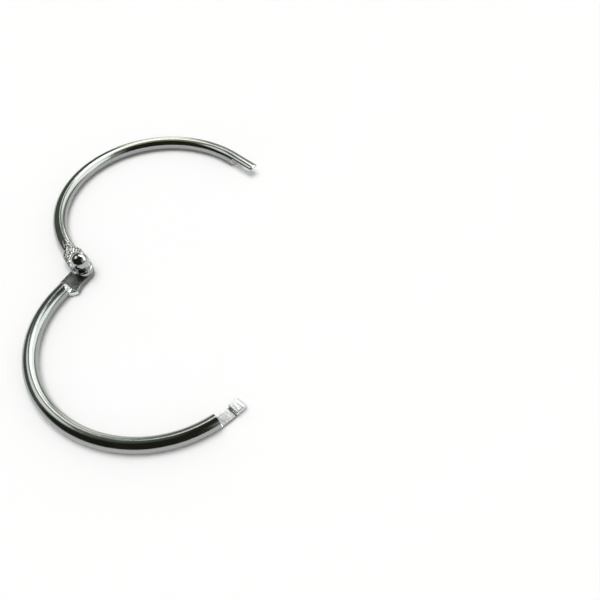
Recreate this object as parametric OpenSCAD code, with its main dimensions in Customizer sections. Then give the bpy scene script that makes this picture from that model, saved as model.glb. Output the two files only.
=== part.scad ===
// Hinged loose-leaf ring for binding punched sheets.
// Two half rings of round wire are pressed flat at one end, where a ball-headed
// rivet hinges them. Their other ends are cut back to half the wire and lap past
// each other, each with a hook that stands in the other's pocket.
// The ring lies open on its wires. +Z is up, and the origin is on the rivet's axis
// at the underside of the lower ear. +X points into the ring, midway between the halves.

/* [Ring] */
// Inside diameter of the closed ring
ring_id = 50; // [45:1:75]
// Diameter of the round wire
wire_d = 3.5; // [3.3:0.1:4]
// Angle that the halves are turned apart, as the ring lies
open_angle = 91; // [40:1:120]
// Distance of each half's arc centre from the middle line when the ring is closed
side_run = 2; // [0.5:0.1:3]

/* [Ears] */
// Distance of the rivet outside the circle of the wire's middle
rivet_out = 1.3; // [1.2:0.05:3]
// Thickness of each pressed ear
ear_t = 1.35; // [1.1:0.05:1.5]
// Width of the ear across the rivet
ear_w = 5.2; // [4.8:0.1:6.2]
// Width of the ear at the shoulder of the wire
shoulder_w = 5; // [4:0.1:5.2]
// Distance from the rivet to the shoulder
shoulder_at = 5.8; // [5:0.1:7]
// Length over which the ear's sides close in on the wire past the shoulder
flare_len = 3.5; // [2:0.1:4.5]
// Distance from the rivet to the foot of the slope up to the round wire
slope_at = 5.6; // [5:0.1:6.6]
// Length of that slope
slope_len = 4.3; // [3:0.1:5]

/* [Rivet] */
// Diameter of the shank
rivet_d = 2; // [1.6:0.05:2.05]
// Diameter of the ball head
ball_d = 4.4; // [4:0.1:5]
// Diameter of the flat under the ball
ball_flat_d = 2.2; // [2.2:0.1:3.4]
// Diameter of the tail where it is flush with the lower ear
tail_d = 3; // [2.6:0.1:3.6]
// Depth of the tail's countersink
tail_depth = 0.5; // [0.3:0.05:0.7]

/* [Closure] */
// How far the closure's middle lies off the middle line, toward the near half
closure_shift = 2.5; // [0:0.1:3.5]
// Distance from one half's shoulder to the other's when the ring is closed
lap_len = 7.8; // [6.6:0.1:9]
// Depth of each pocket below the middle of the wire
pocket_depth = 0.95; // [0.6:0.05:1.1]
// Width of each hook
hook_w = 2.8; // [2.2:0.1:3]
// Length of the lead-in slope on each hook
lead_len = 0.9; // [0.5:0.1:1.2]
// Chamfer round the end of each tip
tip_chamfer = 0.4; // [0.2:0.05:0.6]

/* [Clearances] */
// Gap between the flat faces where the halves cross
mate_gap = 0.08; // [0.04:0.01:0.12]
// Radial clearance of the shank in the upper ear
shank_gap = 0.05; // [0.02:0.01:0.08]
// Gap between the upper ear and the ball
ball_gap = 0.06; // [0.04:0.01:0.1]
// Play between the backs of the two hooks
hook_play = 0.4; // [0.2:0.05:0.8]
// Gap between each tip and the other half's shoulder
tip_gap = 0.5; // [0.3:0.05:0.8]

/* [Hidden] */
$fn = 96;

// Overshoot of every cutting solid past the face it cuts
over = 1;
wire_r = wire_d / 2;
ring_r = ring_id / 2 + wire_r;

// Heights above the origin
middle_z = ear_t + mate_gap / 2;
ball_base_z = middle_z + mate_gap / 2 + ear_t + ball_gap;
ball_centre_z = ball_base_z + sqrt(pow(ball_d, 2) - pow(ball_flat_d, 2)) / 2;

// Closed ring, seen along -Z from the rivet: the far half's arc runs from the
// closure to the point where its tangent passes through the rivet.
centre_x = ring_r + rivet_out;
centre_to_rivet = norm([centre_x, side_run]);
centre_bearing = atan2(side_run, centre_x);
arc_angle = 180 + centre_bearing - acos(ring_r / centre_to_rivet);
ear_bearing = arc_angle - 90;
ear_run = sqrt(pow(centre_to_rivet, 2) - pow(ring_r, 2));

// Heights of a half above the middle of the wire, and the closure's distance out
face_h = mate_gap / 2;
ear_top_h = face_h + ear_t;
closure_x = centre_x + ring_r;

// Places along the straight tip, with the closure's middle at lap_y
function tip_y(lap_y) = lap_y + tip_gap - lap_len / 2;
function hook_back_y(lap_y) = lap_y - hook_play / 2;
function pocket_end_y(lap_y) = lap_y + lap_len / 2;

// Round wire: the arc, the straight tip and the straight run into the ear
module wire(lap_y) {
    translate([centre_x, side_run, 0])
        rotate_extrude(angle = arc_angle)
            translate([ring_r, 0]) circle(r = wire_r);
    translate([closure_x, side_run, 0]) rotate([90, 0, 0])
        cylinder(r = wire_r, h = side_run - tip_y(lap_y) - tip_chamfer);
    translate([closure_x, tip_y(lap_y) + tip_chamfer, 0]) rotate([90, 0, 0])
        cylinder(r1 = wire_r, r2 = wire_r - tip_chamfer, h = tip_chamfer);
    along_ear() translate([slope_at - wire_r, 0, 0]) rotate([0, 90, 0])
        cylinder(r = wire_r, h = ear_run - slope_at + wire_r);
}

// Turns +X from the rivet along the ear of the closed far half
module along_ear() {
    rotate([0, 0, ear_bearing]) children();
}

// Pressed ear seen from above: a round end with sides that run straight to the
// shoulder and then close in on the wire
module ear_plan() {
    ear_r = ear_w / 2;
    shoulder = [shoulder_at, shoulder_w / 2];
    touch = atan2(shoulder.y, shoulder.x) + acos(ear_r / norm(shoulder));
    half_top = sqrt(pow(wire_r, 2) - pow(ear_top_h, 2));
    side = [
        [ear_r * cos(touch), ear_r * sin(touch)],
        shoulder,
        [shoulder_at + flare_len, half_top]
    ];
    circle(r = ear_r);
    polygon(concat(side, [for (i = [len(side) - 1:-1:0]) [side[i].x, -side[i].y]]));
}

// Everything beyond the pressed face: above the ear it is level, and then it
// slopes up until it clears the round wire
module above_ear() {
    slope_end = slope_at + slope_len;
    rotate([90, 0, 0]) linear_extrude(ear_w + 2 * over, center = true)
        polygon([
            [-ear_w, ear_top_h],
            [slope_at, ear_top_h],
            [slope_end, wire_r],
            [slope_end, wire_r + over],
            [-ear_w, wire_r + over]
        ]);
}

// Everything past the mating face between the rivet and the shoulder
module under_ear() {
    translate([-ear_w, -ear_w / 2 - over, -wire_r - over])
        cube([ear_w + shoulder_at, ear_w + 2 * over, wire_r + over + face_h]);
}

// What is cut away from the tip: the pocket, the far side of the middle plane,
// both flanks of the hook and its lead-in slope
module tip_cuts(lap_y) {
    block_w = wire_d + 2 * over;
    block_h = wire_r + over;
    end_y = tip_y(lap_y) - over;
    hook_run = hook_back_y(lap_y) - end_y;
    pocket_run = pocket_end_y(lap_y) - hook_back_y(lap_y);
    translate([closure_x - block_w / 2, hook_back_y(lap_y), -block_h])
        cube([block_w, pocket_run, block_h + pocket_depth]);
    translate([closure_x - block_w / 2, end_y, -block_h])
        cube([block_w, hook_run + over, block_h + face_h]);
    for (side = [-1, 1])
        translate([closure_x + side * (hook_w + block_w) / 2, end_y + hook_run / 2, 0])
            translate([0, 0, (pocket_depth - block_h) / 2])
                cube([block_w, hook_run, block_h + pocket_depth], center = true);
    translate([closure_x - block_w / 2, tip_y(lap_y), 0])
        rotate([90, 0, 90]) linear_extrude(block_w)
            polygon([
                [-over, pocket_depth],
                [0, pocket_depth],
                [lead_len, face_h],
                [lead_len, -over],
                [-over, -over]
            ]);
}

// One half, placed as the far half of the closed ring, with its wire's middle at
// height 0. Turned half a turn about X it is the near half.
module half_ring(lap_y) {
    difference() {
        wire(lap_y);
        along_ear() above_ear();
        along_ear() under_ear();
        tip_cuts(lap_y);
    }
    along_ear() translate([0, 0, face_h]) linear_extrude(ear_t) ear_plan();
}

// The near half: its ear is the lower one, and the rivet is clenched in it
module lower_half() {
    color("silver") difference() {
        translate([0, 0, middle_z]) rotate([180, 0, -open_angle / 2])
            half_ring(closure_shift);
        rivet_hole();
    }
}

// Hole in the lower ear, filled by the shank and by the tail
module rivet_hole() {
    translate([0, 0, -over]) cylinder(d = rivet_d, h = ear_t + 2 * over);
    cylinder(d1 = tail_d, d2 = rivet_d, h = tail_depth);
}

// The far half: its ear lies on the other and turns on the shank
module upper_half() {
    color("silver") difference() {
        translate([0, 0, middle_z]) rotate([0, 0, open_angle / 2])
            half_ring(-closure_shift);
        translate([0, 0, middle_z]) cylinder(d = rivet_d + 2 * shank_gap, h = ear_t + 2 * over);
    }
}

// Rivet: a ball on a shank, with a countersunk tail flush with the lower ear
module hinge_rivet() {
    color("gainsboro") {
        cylinder(d1 = tail_d, d2 = rivet_d, h = tail_depth);
        cylinder(d = rivet_d, h = ball_centre_z);
        intersection() {
            translate([0, 0, ball_centre_z]) sphere(d = ball_d);
            translate([0, 0, ball_base_z + ball_d / 2]) cube(ball_d, center = true);
        }
    }
}

lower_half();
upper_half();
hinge_rivet();
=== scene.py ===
"""Dresses the binder ring: two plated half rings of round wire and the ball-headed rivet that hinges them."""

import math

import bpy
import numpy as np
from mathutils import Matrix, Quaternion, Vector


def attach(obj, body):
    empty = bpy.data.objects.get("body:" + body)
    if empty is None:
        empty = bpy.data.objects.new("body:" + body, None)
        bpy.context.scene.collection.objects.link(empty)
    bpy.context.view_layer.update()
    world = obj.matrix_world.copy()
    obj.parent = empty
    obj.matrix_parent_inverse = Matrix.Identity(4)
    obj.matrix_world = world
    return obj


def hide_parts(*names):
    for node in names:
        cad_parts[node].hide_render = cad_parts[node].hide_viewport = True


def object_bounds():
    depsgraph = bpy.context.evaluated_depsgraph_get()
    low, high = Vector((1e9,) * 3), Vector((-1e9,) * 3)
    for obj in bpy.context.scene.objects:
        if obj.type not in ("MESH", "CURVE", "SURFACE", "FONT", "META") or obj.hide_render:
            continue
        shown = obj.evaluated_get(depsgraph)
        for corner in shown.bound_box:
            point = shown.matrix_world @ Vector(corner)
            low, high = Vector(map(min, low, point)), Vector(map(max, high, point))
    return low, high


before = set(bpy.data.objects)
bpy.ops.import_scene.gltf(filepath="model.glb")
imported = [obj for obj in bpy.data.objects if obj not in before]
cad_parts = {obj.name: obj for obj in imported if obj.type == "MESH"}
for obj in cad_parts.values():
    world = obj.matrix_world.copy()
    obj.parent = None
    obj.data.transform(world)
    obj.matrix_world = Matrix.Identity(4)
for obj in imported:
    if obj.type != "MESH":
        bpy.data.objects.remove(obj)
cad_low, cad_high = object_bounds()

MM = 0.001

# Sizes in millimetres, the same as the part's own
WIRE_R = 1.75
RING_R = 26.75
RIVET_OUT = 1.3
SIDE_RUN = 2.0
OPEN_ANGLE = math.radians(91)
EAR_T = 1.35
EAR_R = 2.6
SHOULDER_HALF_W = 2.5
SHOULDER_AT = 5.8
FLARE_LEN = 3.5
SLOPE_AT = 5.6
SLOPE_LEN = 4.3
RIVET_R = 1.0
BALL_R = 2.2
BALL_FLAT_R = 1.1
TAIL_R = 1.5
TAIL_DEPTH = 0.5
CLOSURE_SHIFT = 2.5
LAP_LEN = 7.8
POCKET_H = 0.95
HOOK_HALF_W = 1.4
LEAD_LEN = 0.9
TIP_CHAMFER = 0.4
MATE_GAP = 0.08
SHANK_GAP = 0.05
BALL_GAP = 0.06
HOOK_PLAY = 0.4
TIP_GAP = 0.5

# Gaps that keep the rivet's mesh off the lower ear's, where the real one is pressed tight
PRESS_GAP = 0.02
TAIL_PRESS_GAP = 0.03

# Places that follow from them
FACE_H = MATE_GAP / 2
EAR_TOP_H = FACE_H + EAR_T
EAR_MID_H = FACE_H + EAR_T / 2
MIDDLE_Z = EAR_T + MATE_GAP / 2
BALL_BASE_Z = MIDDLE_Z + EAR_TOP_H + BALL_GAP
BALL_Z = BALL_BASE_Z + math.sqrt(BALL_R**2 - BALL_FLAT_R**2)
CENTRE_X = RING_R + RIVET_OUT
CENTRE_TO_RIVET = math.hypot(CENTRE_X, SIDE_RUN)
ARC_ANGLE = math.pi + math.atan2(SIDE_RUN, CENTRE_X) - math.acos(RING_R / CENTRE_TO_RIVET)
EAR_BEARING = ARC_ANGLE - math.pi / 2
EAR_RUN = math.sqrt(CENTRE_TO_RIVET**2 - RING_R**2)
ARC_LEN = RING_R * ARC_ANGLE
TIP_FROM = EAR_RUN + ARC_LEN

# The ear's hammered outer face, which dies out on the slope up to the round wire
COARSE_CELL = 0.55
FINE_CELL = 0.3
HAMMER_DEPTH = 0.045
COARSE_DEPTH = 0.032
FINE_DEPTH = 0.065
DEEPEST_DENT = 0.145
CALM_R = 1.9
BLOWS_R = 2.7
HAMMER_FADES = SLOPE_AT + 0.87 * SLOPE_LEN
HAMMER_ENDS = SLOPE_AT + 1.1 * SLOPE_LEN
FLAT_LIFTS = SLOPE_AT + 0.95 * SLOPE_LEN
FLAT_ENDS = SLOPE_AT + 1.3 * SLOPE_LEN
FLAT_LIFT = 0.3

# The ear's pressed sides and its scored mating face
FACE_DIP = 0.010
SIDE_BULGE = 0.10
BULGE_LIMIT = 1.5
FLARE_FROM = SHOULDER_AT - 0.4
FLARE_CLOSES = 2.6
INNER_SWELL = 0.6
SWELL_FROM = 3.2

# The bevel where the round wire starts, longer on the ring's inner side
BEVEL_SLOPE = 0.36
BEVEL_LEN = 0.8
BEVEL_MORE = 0.8
BEVEL_TURNS_W = -0.2
BEVEL_LONG_W = -1.3

# Scored marks on the mating face and the closure
MARK_CELL = 0.3
MARK_STRETCH = 3.0
POCKET_MARKS = 0.003
HOOK_MARKS = 0.004

# How far edges and corners are rounded
FACE_EDGE = 0.30
SHOULDER_EDGE = 0.4
PLATE_FILLET = 0.22
TOP_EDGE = 0.26
TIP_EDGE = 0.14
POCKET_FILLET = 0.45
HOOK_EDGE = 0.20
HOOK_TOP_EDGE = 0.18
HOOK_FOOT = 0.10
CUT_EDGE = 0.16

# How far along the wire the ear and the closure change its round section
EAR_REACH = EAR_RUN + 3.0
CLOSURE_REACH = 2.0

# How finely the halves are meshed
POINTS_ROUND = 168
RAYS = 720
RAY_STEPS = 34
RAY_REACH = 4.5
EAR_MIDDLE_FADES = EAR_RUN - 1.0
TIP_MIDDLE_H = 1.18
TIP_MIDDLE_FROM = 4.0
TURN_WEIGHT = 0.22
SPREAD = 4

# Spacing of the sections along the wire, and how far round each edge it is closer
END_ANGLE = 0.06
END_SECTIONS = 46
EAR_START = 0.07
EAR_STEP = 0.075
SHOULDER_STEP = 0.03
SLOPE_STEP = 0.085
WIRE_STEP = 0.8
APPROACH_STEP = 0.07
EDGE_STEP = 0.02
POCKET_STEP = 0.1
HOOK_STEP = 0.08
TIP_STEP = 0.028
BEFORE_SHOULDER = 0.25
AFTER_SHOULDER = 0.35
APPROACH = 0.5
EDGE_BAND = 0.15
TIP_BAND = 0.45
LAST_STEP = 0.008

# Finishes of a half ring, in the order of its material slots; the last one paints shade onto the near ear's
# sides
DRAWN, HAMMERED, CUT, MATING, PAINTED_SHADE = range(5)

# How near a face a point lies to have its finish, how far below the round wire, and where finishes end
HAMMERED_WITHIN = 0.035
MATING_WITHIN = 0.03
BELOW_ROUND = 0.02
CUT_BELOW_ROUND = 0.05
CUT_MARGIN = 0.05
# Where the painted shade on the ear's sides ends, and where the painted highlight on the flare's inner side
# lies
EDGE_ENDS = SHOULDER_AT - 0.1
PAINTED_HIGHLIGHT_W = -0.9
PAINTED_HIGHLIGHT_ENDS = SHOULDER_AT + 1.5

# How much longer along the wire than across it the drawn lines' pattern is
DRAWN_STRETCH = 30


def smooth_max(a, b, k):
    """The larger of two distances, with the edge between them rounded over about k."""
    t = np.clip(0.5 + 0.5 * (a - b) / k, 0, 1)
    return b * (1 - t) + a * t + k * t * (1 - t)


def smooth_min(a, b, k):
    return -smooth_max(-a, -b, k)


def smooth_step(low, high, x):
    t = np.clip((x - low) / (high - low), 0, 1)
    return t * t * (3 - 2 * t)


def tip_place(s):
    """The closed ring's y at a place on the tip's straight run, 0 on the ring's middle line."""
    return SIDE_RUN - (s - TIP_FROM)


class Dents:
    """Smooth seeded noise over a plane, from -1 to 1, on cells of a given size."""

    CELLS = 128
    MIDDLE = 40

    def __init__(self, seed, cell, stretch=1.0):
        self.grid = np.random.default_rng(seed).uniform(-1, 1, (self.CELLS, self.CELLS))
        self.cell = cell
        self.stretch = stretch

    def at(self, x, y):
        u = x / self.cell + self.MIDDLE
        v = y / (self.cell * self.stretch) + self.MIDDLE
        iu = np.floor(u).astype(int)
        iv = np.floor(v).astype(int)
        fu = smooth_step(0, 1, u - iu)
        fv = smooth_step(0, 1, v - iv)
        iu = iu % (self.CELLS - 1)
        iv = iv % (self.CELLS - 1)
        low = self.grid[iu, iv] * (1 - fu) + self.grid[iu + 1, iv] * fu
        high = self.grid[iu, iv + 1] * (1 - fu) + self.grid[iu + 1, iv + 1] * fu
        return low * (1 - fv) + high * fv


class Half:
    """One half ring by its distance field: s runs along the wire from the rivet, w outwards, h up.

    One half, chosen by the last argument, has its ear's sides painted dark as shade, and a wider flare with a
    pale patch painted on its inner side as a highlight.
    """

    def __init__(self, lap_shift, seed, flared_with_painted_light):
        self.flared_with_painted_light = flared_with_painted_light
        self.inner_swell = INNER_SWELL if flared_with_painted_light else 0.0
        self.tip_y = lap_shift + TIP_GAP - LAP_LEN / 2
        self.hook_back_y = lap_shift - HOOK_PLAY / 2
        self.pocket_end_y = lap_shift + LAP_LEN / 2
        self.pocket_s = TIP_FROM + SIDE_RUN - self.pocket_end_y
        self.hook_s = TIP_FROM + SIDE_RUN - self.hook_back_y
        self.length = TIP_FROM + SIDE_RUN - self.tip_y
        self.coarse = Dents(seed, COARSE_CELL)
        self.fine = Dents(seed + 1, FINE_CELL)
        self.marks = Dents(seed + 2, MARK_CELL, MARK_STRETCH)

    def ear_top(self, s, w):
        """Height of the hammered outer face of the ear, and of its slope up to the round wire."""
        rise = np.clip((s - SLOPE_AT) / SLOPE_LEN, 0, 1) * (WIRE_R - EAR_TOP_H)
        rise = rise + FLAT_LIFT * smooth_step(FLAT_LIFTS, FLAT_ENDS, s)
        fade = 1 - smooth_step(HAMMER_FADES, HAMMER_ENDS, s)
        blows = smooth_step(CALM_R, BLOWS_R, np.hypot(s, w))
        dents = COARSE_DEPTH * self.coarse.at(s, w) + FINE_DEPTH * self.fine.at(s, w)
        depth = HAMMER_DEPTH + blows * dents
        return EAR_TOP_H + rise - np.clip(depth, 0, DEEPEST_DENT) * fade

    def ear_face(self, s, w):
        """Height of the mating face, scored lightly across."""
        return FACE_H + FACE_DIP + FACE_DIP * self.marks.at(s, w)

    def ear_field(self, s, w, h):
        """The flat ear and its flare, fused to the round wire that starts at the shoulder."""
        narrow = smooth_step(FLARE_FROM, SHOULDER_AT + FLARE_LEN, s)
        swell = np.where(w < 0, self.inner_swell, 0)
        half_w = np.interp(s, [0, SHOULDER_AT], [EAR_R, SHOULDER_HALF_W])
        half_w = half_w + swell * smooth_step(SWELL_FROM, SHOULDER_AT, s) - (FLARE_CLOSES + swell) * narrow
        plan = np.where(s < 0, np.hypot(s, w) - EAR_R, np.abs(w) - half_w)
        bulge = (h - EAR_MID_H) / (EAR_T / 2)
        plan = plan + SIDE_BULGE * np.clip(bulge, -BULGE_LIMIT, BULGE_LIMIT) ** 2
        plate = smooth_max(plan, self.ear_face(s, w) - h, FACE_EDGE)
        bevel_len = BEVEL_LEN + BEVEL_MORE * smooth_step(BEVEL_TURNS_W, BEVEL_LONG_W, w)
        bevel = BEVEL_SLOPE * np.clip(SHOULDER_AT + bevel_len - s, 0, bevel_len)
        wire = smooth_max(np.hypot(w, h) - WIRE_R + bevel, SHOULDER_AT - s, SHOULDER_EDGE)
        both = smooth_min(plate, wire, PLATE_FILLET)
        return smooth_max(both, h - self.ear_top(s, w), TOP_EDGE)

    def tip_field(self, s, w, h):
        """The tip, cut away to the pocket's floor, with the hook at its end."""
        y = tip_place(s)
        chamfer = np.clip(self.tip_y + TIP_CHAMFER - y, 0, TIP_CHAMFER)
        wire = np.hypot(w, h) - (WIRE_R - chamfer)
        wire = smooth_max(wire, self.tip_y - y, TIP_EDGE)
        floor_h = POCKET_H + POCKET_MARKS * self.marks.at(s, w)
        beyond_pocket = smooth_min(self.pocket_end_y - y, floor_h - h, POCKET_FILLET)
        lead = (POCKET_H - FACE_H) * (y - self.tip_y) + LEAD_LEN * (h - POCKET_H)
        lead = -lead / math.hypot(POCKET_H - FACE_H, LEAD_LEN)
        top_h = FACE_H + HOOK_MARKS * (1 + self.marks.at(s, w))
        hook = smooth_max(y - self.hook_back_y, np.abs(w) - HOOK_HALF_W, HOOK_EDGE)
        hook = smooth_max(hook, top_h - h, HOOK_TOP_EDGE)
        hook = smooth_max(hook, lead, HOOK_EDGE)
        return smooth_max(wire, smooth_min(beyond_pocket, hook, HOOK_FOOT), CUT_EDGE)

    def field(self, s, w, h):
        """Distance to the surface, below 0 inside."""
        round_wire = np.hypot(w, h) - WIRE_R
        ear = np.where(s < EAR_REACH, self.ear_field(s, w, h), round_wire)
        return np.where(s > self.pocket_s - CLOSURE_REACH, self.tip_field(s, w, h), ear)

    def finish(self, s, w, h):
        """Which finish each point of the surface has."""
        below_round = WIRE_R - np.hypot(w, h)
        y = tip_place(s)
        on_hammered = (np.abs(h - self.ear_top(s, w)) < HAMMERED_WITHIN) & (s < HAMMER_ENDS)
        on_hammered = on_hammered & ((s < SLOPE_AT) | (below_round > BELOW_ROUND))
        # A pale patch on the flare's inner side: a painted highlight
        on_painted_highlight = self.flared_with_painted_light & (s > EDGE_ENDS) & (s < PAINTED_HIGHLIGHT_ENDS) & (w < PAINTED_HIGHLIGHT_W)
        on_cut = (y < self.pocket_end_y + CUT_MARGIN) & (below_round > CUT_BELOW_ROUND)
        on_face = (np.abs(h - self.ear_face(s, w)) < MATING_WITHIN) & (s < SHOULDER_AT)
        # The near ear's sides are painted dark: a painted shade
        on_painted_shade = self.flared_with_painted_light & (s < EDGE_ENDS)
        places = [on_hammered, on_painted_highlight, on_cut, on_face, on_painted_shade]
        return np.select(places, [HAMMERED, CUT, CUT, MATING, PAINTED_SHADE], DRAWN)

    def stations(self):
        """Places along the wire, close together at the ear, the shoulder and the closure."""
        round_end = np.linspace(END_ANGLE, math.pi / 2, END_SECTIONS)
        parts = [-EAR_R * np.cos(round_end)]
        for start, stop, step in (
                (EAR_START, SHOULDER_AT - BEFORE_SHOULDER, EAR_STEP),
                (SHOULDER_AT - BEFORE_SHOULDER, SHOULDER_AT + AFTER_SHOULDER, SHOULDER_STEP),
                (SHOULDER_AT + AFTER_SHOULDER, EAR_REACH, SLOPE_STEP),
                (EAR_REACH, self.pocket_s - APPROACH, WIRE_STEP),
                (self.pocket_s - APPROACH, self.pocket_s - EDGE_BAND, APPROACH_STEP),
                (self.pocket_s - EDGE_BAND, self.pocket_s + EDGE_BAND, EDGE_STEP),
                (self.pocket_s + EDGE_BAND, self.hook_s - EDGE_BAND, POCKET_STEP),
                (self.hook_s - EDGE_BAND, self.hook_s + EDGE_BAND, EDGE_STEP),
                (self.hook_s + EDGE_BAND, self.length - TIP_BAND, HOOK_STEP),
                (self.length - TIP_BAND, self.length - 1.5 * LAST_STEP, TIP_STEP)):
            parts.append(np.arange(start, stop, step))
        parts.append(np.array([self.length - LAST_STEP]))
        return np.concatenate(parts)

    def middle_h(self, s):
        """Height inside the section from which its outline is seen all round."""
        ear = EAR_MID_H * (1 - smooth_step(EAR_MIDDLE_FADES, EAR_REACH, s))
        tip = TIP_MIDDLE_H * smooth_step(self.pocket_s - TIP_MIDDLE_FROM, self.pocket_s - APPROACH, s)
        return ear + tip

    def outlines(self):
        """Every station's outline as w and h, found along rays by halving the gap to the surface."""
        s = self.stations()
        angle = math.pi / 2 + np.linspace(0, 2 * math.pi, RAYS, endpoint=False)
        cos = np.cos(angle)[None, :]
        sin = np.sin(angle)[None, :]
        mid = self.middle_h(s)[:, None]
        along = np.repeat(s[:, None], RAYS, axis=1)
        inner = np.zeros_like(along)
        outer = np.full_like(along, RAY_REACH)
        for _ in range(RAY_STEPS):
            reach = (inner + outer) / 2
            outside = self.field(along, reach * cos, mid + reach * sin) > 0
            outer = np.where(outside, reach, outer)
            inner = np.where(outside, inner, reach)
        w = inner * cos
        h = mid + inner * sin
        rows = []
        for i in range(len(s)):
            rows.append(resample(w[i], h[i]))
        return s, np.array(rows)


def resample(w, h):
    """The closed outline again, with POINTS_ROUND points spread by length and by how much it turns."""
    w = np.append(w, w[0])
    h = np.append(h, h[0])
    step = np.hypot(np.diff(w), np.diff(h))
    heading = np.unwrap(np.arctan2(np.diff(h), np.diff(w)))
    turn = np.abs(np.diff(heading, prepend=heading[-1] - 2 * math.pi))
    weight = step + TURN_WEIGHT * np.minimum(turn, 1.0)
    window = 2 * SPREAD + 1
    weight = np.concatenate([weight[-SPREAD:], weight, weight[:SPREAD]])
    weight = np.convolve(weight, np.ones(window) / window, "valid")
    run = np.concatenate([[0], np.cumsum(weight)])
    want = np.linspace(0, run[-1], POINTS_ROUND, endpoint=False)
    return np.stack([np.interp(want, run, w), np.interp(want, run, h)], axis=1)


def along_wire(s):
    """Point, and outward direction, of the closed far half's middle line at each s."""
    ear = np.array([math.cos(EAR_BEARING), math.sin(EAR_BEARING)])
    polar = ARC_ANGLE - (s - EAR_RUN) / RING_R
    arc = np.stack([CENTRE_X + RING_R * np.cos(polar), SIDE_RUN + RING_R * np.sin(polar)], axis=1)
    arc_out = np.stack([np.cos(polar), np.sin(polar)], axis=1)
    run = s[:, None] * ear
    run_out = np.tile([-ear[1], ear[0]], (len(s), 1))
    tip = np.stack([np.full_like(s, CENTRE_X + RING_R), tip_place(s)], axis=1)
    tip_out = np.tile([1.0, 0.0], (len(s), 1))
    on_run = (s < EAR_RUN)[:, None]
    on_tip = (s > TIP_FROM)[:, None]
    point = np.where(on_run, run, np.where(on_tip, tip, arc))
    out = np.where(on_run, run_out, np.where(on_tip, tip_out, arc_out))
    return point, out


def mesh_object(name, points, faces, slots, slot_of_face):
    mesh = bpy.data.meshes.new(name)
    mesh.from_pydata([tuple(p) for p in points], [], faces)
    for material in slots:
        mesh.materials.append(material)
    mesh.polygons.foreach_set("material_index", np.asarray(slot_of_face, dtype=np.int32))
    mesh.polygons.foreach_set("use_smooth", np.ones(len(faces), dtype=bool))
    mesh.validate()
    mesh.update()
    made = bpy.data.objects.new(name, mesh)
    bpy.context.scene.collection.objects.link(made)
    return made


def apply_modifiers(obj):
    """Bakes the modifiers into the object's own mesh."""
    graph = bpy.context.evaluated_depsgraph_get()
    baked = bpy.data.meshes.new_from_object(obj.evaluated_get(graph), depsgraph=graph)
    obj.modifiers.clear()
    obj.data = baked


def half_ring(name, half, flip, turn, slots):
    """Lofts one half through its outlines, then sets it at rest: flip turns it over for the near side.

    A face has the finish of three or more of its corners, or else the lowest of theirs.
    """
    s, outline = half.outlines()
    centre, out = along_wire(s)
    count, n = outline.shape[:2]
    w = outline[..., 0]
    h = outline[..., 1]
    points = np.empty((count, n, 3))
    points[..., 0] = centre[:, None, 0] + w * out[:, None, 0]
    points[..., 1] = centre[:, None, 1] + w * out[:, None, 1]
    points[..., 2] = h
    finish = half.finish(np.repeat(s[:, None], n, axis=1), w, h)
    faces = []
    kinds = []
    for i in range(count - 1):
        for j in range(n):
            k = (j + 1) % n
            faces.append((i * n + j, i * n + k, (i + 1) * n + k, (i + 1) * n + j))
            corners = [finish[i, j], finish[i, k], finish[i + 1, k], finish[i + 1, j]]
            kinds.append(corners[0] if corners.count(corners[0]) >= 3 else min(corners))
    faces.append(tuple(range(n - 1, -1, -1)))
    faces.append(tuple((count - 1) * n + j for j in range(n)))
    kinds += [DRAWN, DRAWN]
    flat = points.reshape(-1, 3)
    if flip:
        flat = flat * np.array([1.0, -1.0, -1.0])
    cos = math.cos(turn)
    sin = math.sin(turn)
    x = flat[:, 0] * cos - flat[:, 1] * sin
    y = flat[:, 0] * sin + flat[:, 1] * cos
    placed = np.stack([x, y, flat[:, 2] + MIDDLE_Z], axis=1)
    made = mesh_object(name, placed * MM, faces, slots, kinds)
    drawn = np.stack([np.repeat(s[:, None] / DRAWN_STRETCH, n, axis=1), w, h], axis=2)
    made.data.attributes.new("drawn", "FLOAT_VECTOR", "POINT").data.foreach_set("vector", drawn.ravel())
    return made


def lathe(name, profile, turns, material):
    """A closed solid of revolution about the rivet's axis. The profile runs from bottom pole to top pole."""
    points = []
    faces = []
    rings = profile[1:-1]
    points.append((0.0, 0.0, profile[0][1] * MM))
    for r, z in rings:
        for j in range(turns):
            a = 2 * math.pi * j / turns
            points.append((r * math.cos(a) * MM, r * math.sin(a) * MM, z * MM))
    points.append((0.0, 0.0, profile[-1][1] * MM))
    top = 1 + (len(rings) - 1) * turns
    last = len(points) - 1
    for j in range(turns):
        k = (j + 1) % turns
        faces.append((0, 1 + k, 1 + j))
        faces.append((top + j, top + k, last))
        for i in range(len(rings) - 1):
            a = 1 + i * turns
            b = a + turns
            faces.append((a + j, a + k, b + k, b + j))
    return mesh_object(name, np.array(points), faces, [material], [0] * len(faces))


def ball_points(start, end, steps):
    """The ball's outline in the rivet's profile. Angles are in degrees, from the level direction up."""
    made = []
    for i in range(steps + 1):
        a = math.radians(start + (end - start) * i / steps)
        made.append((BALL_R * math.cos(a), BALL_Z + BALL_R * math.sin(a)))
    return made


def bore(obj, radius, cone_radius):
    """Cuts the rivet's hole through an ear. cone_radius above 0 adds the tail's countersink."""
    beyond = 4 * EAR_T
    profile = [(0, -beyond), (radius, -beyond), (radius, beyond), (0, beyond)]
    if cone_radius > 0:
        below = 1.0
        wide = cone_radius + (cone_radius - radius) * below / TAIL_DEPTH
        profile = [(0, -below), (wide, -below), (radius, TAIL_DEPTH), (radius, beyond), (0, beyond)]
    cutter = lathe("cutter", profile, turns=72, material=rivet_plating)
    cut = obj.modifiers.new("hole", "BOOLEAN")
    cut.operation = "DIFFERENCE"
    cut.solver = "EXACT"
    cut.object = cutter
    apply_modifiers(obj)
    bpy.data.objects.remove(cutter)


# Materials

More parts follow.
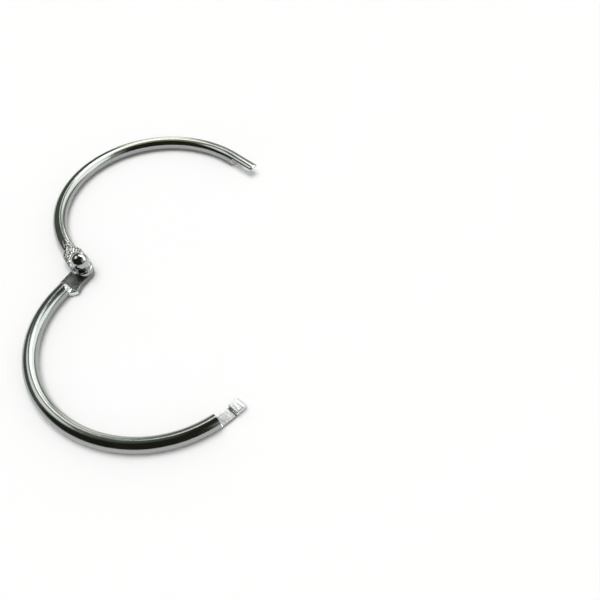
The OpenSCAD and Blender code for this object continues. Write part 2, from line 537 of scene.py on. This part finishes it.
# Scales are in cells a metre, or a millimetre for the drawn lines, and depths are in metres
CLOUD_SCALE = 260
CLOUD_LOW = 0.3
CLOUD_HIGH = 0.7
DENT_DEPTH = 0.0001
GRAIN_SCALE = 5200
GRAIN_DEPTH = 0.00002
LINE_SCALE = 2.6
LINE_DEPTH = 0.00003


def noise(tree, vector, scale, detail):
    made = tree.nodes.new("ShaderNodeTexNoise")
    made.inputs["Scale"].default_value = scale
    made.inputs["Detail"].default_value = detail
    tree.links.new(vector, made.inputs["Vector"])
    return made.outputs["Fac"]


def bumped(tree, heights, strength, depth):
    """A bump node over the given heights."""
    made = tree.nodes.new("ShaderNodeBump")
    made.inputs["Strength"].default_value = strength
    made.inputs["Distance"].default_value = depth
    tree.links.new(heights, made.inputs["Height"])
    return made


def plated(name, colour, roughness, spread, grain, dent_scale, dents, lines=0, darkest=0.93):
    """Bright plating whose tint and gloss vary a little, with fine grain, shallow dents and drawn lines."""
    material = bpy.data.materials.new(name)
    material.use_nodes = True
    tree = material.node_tree
    tree.nodes.clear()
    output = tree.nodes.new("ShaderNodeOutputMaterial")
    shader = tree.nodes.new("ShaderNodeBsdfPrincipled")
    tree.links.new(shader.outputs["BSDF"], output.inputs["Surface"])
    shader.inputs["Metallic"].default_value = 1.0
    place = tree.nodes.new("ShaderNodeTexCoord").outputs["Object"]

    cloud = noise(tree, place, CLOUD_SCALE, 4)
    tint = tree.nodes.new("ShaderNodeValToRGB")
    dark, bright = tint.color_ramp.elements
    dark.position = CLOUD_LOW
    dark.color = (*[c * darkest for c in colour], 1)
    bright.position = CLOUD_HIGH
    bright.color = (*colour, 1)
    tree.links.new(cloud, tint.inputs["Fac"])
    tree.links.new(tint.outputs["Color"], shader.inputs["Base Color"])

    gloss = tree.nodes.new("ShaderNodeMapRange")
    gloss.inputs["From Min"].default_value = CLOUD_LOW
    gloss.inputs["From Max"].default_value = CLOUD_HIGH
    gloss.inputs["To Min"].default_value = roughness
    gloss.inputs["To Max"].default_value = roughness + spread
    tree.links.new(cloud, gloss.inputs["Value"])
    tree.links.new(gloss.outputs["Result"], shader.inputs["Roughness"])

    low = bumped(tree, noise(tree, place, dent_scale, 2), dents, DENT_DEPTH)
    high = bumped(tree, noise(tree, place, GRAIN_SCALE, 3), grain, GRAIN_DEPTH)
    tree.links.new(low.outputs["Normal"], high.inputs["Normal"])
    tree.links.new(high.outputs["Normal"], shader.inputs["Normal"])
    if lines > 0:
        run = tree.nodes.new("ShaderNodeAttribute")
        run.attribute_name = "drawn"
        scored = bumped(tree, noise(tree, run.outputs["Vector"], LINE_SCALE, 3), lines, LINE_DEPTH)
        tree.links.new(scored.outputs["Normal"], low.inputs["Normal"])
    return material


wire_plating = plated(
    "wire_plating", (0.375, 0.388, 0.376), roughness=0.12, spread=0.06,
    grain=0.10, dent_scale=420, dents=0.12, lines=0.38)
hammered_plating = plated(
    "hammered_plating", (0.6, 0.615, 0.6), roughness=0.09, spread=0.12,
    grain=0.5, dent_scale=1900, dents=1.0)
cut_plating = plated(
    "cut_plating", (0.76, 0.775, 0.765), roughness=0.2, spread=0.08,
    grain=0.2, dent_scale=1400, dents=0.08)
mating_plating = plated(
    "mating_plating", (0.4, 0.41, 0.4), roughness=0.22, spread=0.18,
    grain=0.5, dent_scale=1300, dents=0.8, darkest=0.5)
# Dark plating on the near ear's sides: a painted shade, darker than the far ear's same sides
painted_shade_plating = plated(
    "painted_shade_plating", (0.2, 0.206, 0.2), roughness=0.26, spread=0.12,
    grain=0.5, dent_scale=1300, dents=0.4)
rivet_plating = plated(
    "rivet_plating", (0.46, 0.47, 0.465), roughness=0.04, spread=0.03,
    grain=0.06, dent_scale=300, dents=0.06)

# The halves and the rivet

far = Half(-CLOSURE_SHIFT, seed=11, flared_with_painted_light=False)
near = Half(CLOSURE_SHIFT, seed=29, flared_with_painted_light=True)
finishes = [wire_plating, hammered_plating, cut_plating, mating_plating, painted_shade_plating]
far_half = half_ring("far_half_ring", far, flip=False, turn=OPEN_ANGLE / 2, slots=finishes)
near_half = half_ring("near_half_ring", near, flip=True, turn=-OPEN_ANGLE / 2, slots=finishes)

bore(far_half, RIVET_R + SHANK_GAP, cone_radius=0)
bore(near_half, RIVET_R + PRESS_GAP, cone_radius=TAIL_R + TAIL_PRESS_GAP)

# The profile rises from a shallow dimple in the tail, up the shank and round the ball
flat_angle = math.degrees(math.asin(BALL_FLAT_R / BALL_R)) - 90
rivet_profile = [(0, 0.07), (0.25, 0.055), (0.5, 0.02), (0.62, 0.0), (TAIL_R - 0.06, 0.0)]
rivet_profile += [(TAIL_R - 0.01, 0.02), (TAIL_R - 0.03, 0.07), (RIVET_R + 0.02, TAIL_DEPTH - 0.02)]
rivet_profile += [(RIVET_R, TAIL_DEPTH + 0.02), (RIVET_R, MIDDLE_Z), (RIVET_R, BALL_BASE_Z - 0.01)]
rivet_profile += [(RIVET_R + 0.01, BALL_BASE_Z), (BALL_FLAT_R - 0.03, BALL_BASE_Z)]
rivet_profile += ball_points(start=flat_angle + 0.6, end=89.0, steps=90)
rivet_profile += [(0, BALL_Z + BALL_R)]
rivet = lathe("ball_rivet", rivet_profile, turns=128, material=rivet_plating)

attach(far_half, "far_body")
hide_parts("upper_half")
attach(near_half, "near_body")
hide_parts("lower_half")
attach(rivet, "near_body")
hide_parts("hinge_rivet")

# Floor: white paper, which keeps the shadow

floor_z = cad_low.z
floor_half = 1.5
floor_signs = [(-1, -1), (1, -1), (1, 1), (-1, 1)]
floor_corners = [(x * floor_half, y * floor_half, floor_z) for x, y in floor_signs]
floor_mesh = bpy.data.meshes.new("floor")
floor_mesh.from_pydata(floor_corners, [], [(0, 1, 2, 3)])
floor = bpy.data.objects.new("floor", floor_mesh)
bpy.context.scene.collection.objects.link(floor)
paper = bpy.data.materials.new("paper")
paper.use_nodes = True
paper_shader = paper.node_tree.nodes["Principled BSDF"]
paper_shader.inputs["Base Color"].default_value = (0.97, 0.97, 0.965, 1)
paper_shader.inputs["Roughness"].default_value = 0.9
paper_shader.inputs["Specular IOR Level"].default_value = 0.0
floor_mesh.materials.append(paper)

# The world: even light for the floor, and a studio that only the metal reflects, bright on the
# right and at the back and dark toward the camera. Bearings are in degrees from +X toward +Y,
# and heights run from 0 at the horizon to 1 overhead.

RIGHT_EDGE = (-51, -40)
BACK_EDGE = (97, 109)
LOW_PART = (0.0, 0.45)
HIGH_PART = (0.45, 1.0)
HORIZON_LEVEL = 0.28
UPPER_LEVEL = 0.5
BACK_LEFT_LEVEL = 0.145
LEFT_WALL_EDGE = (-178, -150)
LEFT_WALL_LEVEL = 0.52
LEFT_WALL_TOP = (0.05, 0.35)
DARK_LEVEL = 0.024
EVEN_LEVEL = 0.5
BACKDROP_LEVEL = 1.0

# Tint of the studio at each level, warm in the dark and greenish above
TONES = (
    (0.02, (1.0, 0.9, 0.62)),
    (0.09, (0.84, 1.0, 0.84)),
    (0.4, (0.88, 1.0, 0.9)),
    (1.0, (1.0, 1.0, 1.0)))

world = bpy.data.worlds.new("studio")
world.use_nodes = True
bpy.context.scene.world = world
sky = world.node_tree
sky.nodes.clear()


def ramp(source, edge, before, after):
    """One value before the edge, another after it, and smooth across it."""
    made = sky.nodes.new("ShaderNodeMapRange")
    made.interpolation_type = "SMOOTHSTEP"
    made.inputs["From Min"].default_value = edge[0]
    made.inputs["From Max"].default_value = edge[1]
    made.inputs["To Min"].default_value = before
    made.inputs["To Max"].default_value = after
    sky.links.new(source, made.inputs["Value"])
    return made.outputs["Result"]


def combine(operation, a, b):
    made = sky.nodes.new("ShaderNodeMath")
    made.operation = operation
    for socket, value in zip(made.inputs, (a, b)):
        if isinstance(value, (int, float)):
            socket.default_value = value
        else:
            sky.links.new(value, socket)
    return made.outputs["Value"]


def white_light(strength):
    made = sky.nodes.new("ShaderNodeBackground")
    made.inputs["Color"].default_value = (1, 1, 1, 1)
    made.inputs["Strength"].default_value = strength
    return made.outputs["Background"]


def mixed(share, first, second):
    made = sky.nodes.new("ShaderNodeMixShader")
    sky.links.new(share, made.inputs["Fac"])
    sky.links.new(first, made.inputs[1])
    sky.links.new(second, made.inputs[2])
    return made.outputs["Shader"]


direction = sky.nodes.new("ShaderNodeTexCoord").outputs["Generated"]
parts = sky.nodes.new("ShaderNodeSeparateXYZ")
sky.links.new(direction, parts.inputs["Vector"])
bearing = combine("MULTIPLY", combine("ARCTAN2", parts.outputs["Y"], parts.outputs["X"]), 180 / math.pi)
height = parts.outputs["Z"]

right_side = combine("MULTIPLY", ramp(bearing, RIGHT_EDGE, 0, 1), ramp(bearing, BACK_EDGE, 1, 0))
low_level = ramp(height, LOW_PART, HORIZON_LEVEL, UPPER_LEVEL)
high_level = ramp(height, HIGH_PART, 1.0, 0.0)
level = combine("MULTIPLY", right_side, combine("MULTIPLY", low_level, high_level))
back_left = combine("MULTIPLY", ramp(bearing, BACK_EDGE, 0, 1), BACK_LEFT_LEVEL)
left_side = ramp(bearing, LEFT_WALL_EDGE, LEFT_WALL_LEVEL, 0)
left_wall = combine("MULTIPLY", left_side, ramp(height, LEFT_WALL_TOP, 1, 0))
level = combine("MAXIMUM", level, back_left)
level = combine("MAXIMUM", level, left_wall)
level = combine("MAXIMUM", level, DARK_LEVEL)

tone = sky.nodes.new("ShaderNodeValToRGB")
stops = tone.color_ramp.elements
while len(stops) < len(TONES):
    stops.new(0.5)
for stop, (place, colour) in zip(stops, TONES):
    stop.position = place
    stop.color = (*colour, 1)
sky.links.new(level, tone.inputs["Fac"])
studio = sky.nodes.new("ShaderNodeBackground")
sky.links.new(tone.outputs["Color"], studio.inputs["Color"])
sky.links.new(level, studio.inputs["Strength"])

rays = sky.nodes.new("ShaderNodeLightPath")
lighting = mixed(rays.outputs["Is Glossy Ray"], white_light(EVEN_LEVEL), studio.outputs["Background"])
seen = mixed(rays.outputs["Is Camera Ray"], lighting, white_light(BACKDROP_LEVEL))
sky_out = sky.nodes.new("ShaderNodeOutputWorld")
sky.links.new(seen, sky_out.inputs["Surface"])

# Lamps: cards that only the metal reflects, and a soft one overhead for the floor and the shadow


def toward(bearing_deg, height_deg):
    """Unit vector toward a place in the studio."""
    b = math.radians(bearing_deg)
    h = math.radians(height_deg)
    return Vector((math.cos(b) * math.cos(h), math.sin(b) * math.cos(h), math.sin(h)))


def window(name, colour, radiance, away, distance_mm, size_mm, roll_deg=0):
    """A bright card that faces into the ring."""
    data = bpy.data.lights.new(name, "AREA")
    data.shape = "RECTANGLE"
    data.size = size_mm[0] * MM
    data.size_y = size_mm[1] * MM
    data.energy = radiance * math.pi * data.size * data.size_y
    data.color = colour
    card = bpy.data.objects.new(name, data)
    card.location = (CARDS_FACE + away * distance_mm) * MM
    card.rotation_mode = "QUATERNION"
    card.rotation_quaternion = away.to_track_quat("Z", "Y") @ Quaternion((0, 0, 1), math.radians(roll_deg))
    card.visible_camera = False
    card.visible_diffuse = False
    bpy.context.scene.collection.objects.link(card)


CARDS_FACE = Vector((20, 0, 0))
WHITE = (1, 1, 1)
CREAM = (1, 0.98, 0.86)
GOLD = (1, 0.84, 0.46)
window("back_window", WHITE, 2.6, toward(83.3, 58.4), distance_mm=238, size_mm=(127, 66), roll_deg=-11.6)
window("right_window", WHITE, 1.72, toward(35, 40.2), distance_mm=88.7, size_mm=(72, 154), roll_deg=-66.7)
window("left_window", WHITE, 1.47, toward(163, 51.2), distance_mm=180, size_mm=(93, 73))
window("low_window", CREAM, 2.3, toward(97, 15.5), distance_mm=89, size_mm=(29.5, 22), roll_deg=28)
window("high_window", CREAM, 2.0, toward(99.3, 46), distance_mm=270, size_mm=(25, 80))
window("gold_card", GOLD, 0.55, toward(95.4, 55), distance_mm=73.4, size_mm=(32, 20))

sun_data = bpy.data.lights.new("high_lamp", "SUN")
sun_data.energy = 1.67
sun_data.angle = math.radians(45)
sun = bpy.data.objects.new("high_lamp", sun_data)
sun.rotation_mode = "QUATERNION"
sun.rotation_quaternion = toward(150, 85).to_track_quat("Z", "Y")
sun.visible_glossy = False
bpy.context.scene.collection.objects.link(sun)

# Camera

camera_data = bpy.data.cameras.new("camera")
camera_data.lens = 42
camera_data.sensor_width = 36
camera_data.clip_start = 0.005
camera_data.clip_end = 20
camera = bpy.data.objects.new("camera", camera_data)
camera_place = Vector((45.13, -115.85, 131.84)) * MM
camera_right = Vector((0.99828, -0.05731, 0.01258))
camera_back = Vector((-0.04559, -0.62282, 0.78104))
camera_up = camera_back.cross(camera_right).normalized()
camera_back = camera_right.cross(camera_up).normalized()
camera_axes = Matrix((camera_right, camera_up, camera_back)).transposed()
camera.matrix_world = Matrix.Translation(camera_place) @ camera_axes.to_4x4()
bpy.context.scene.collection.objects.link(camera)
bpy.context.scene.camera = camera

bpy.context.scene.view_settings.view_transform = "Standard"
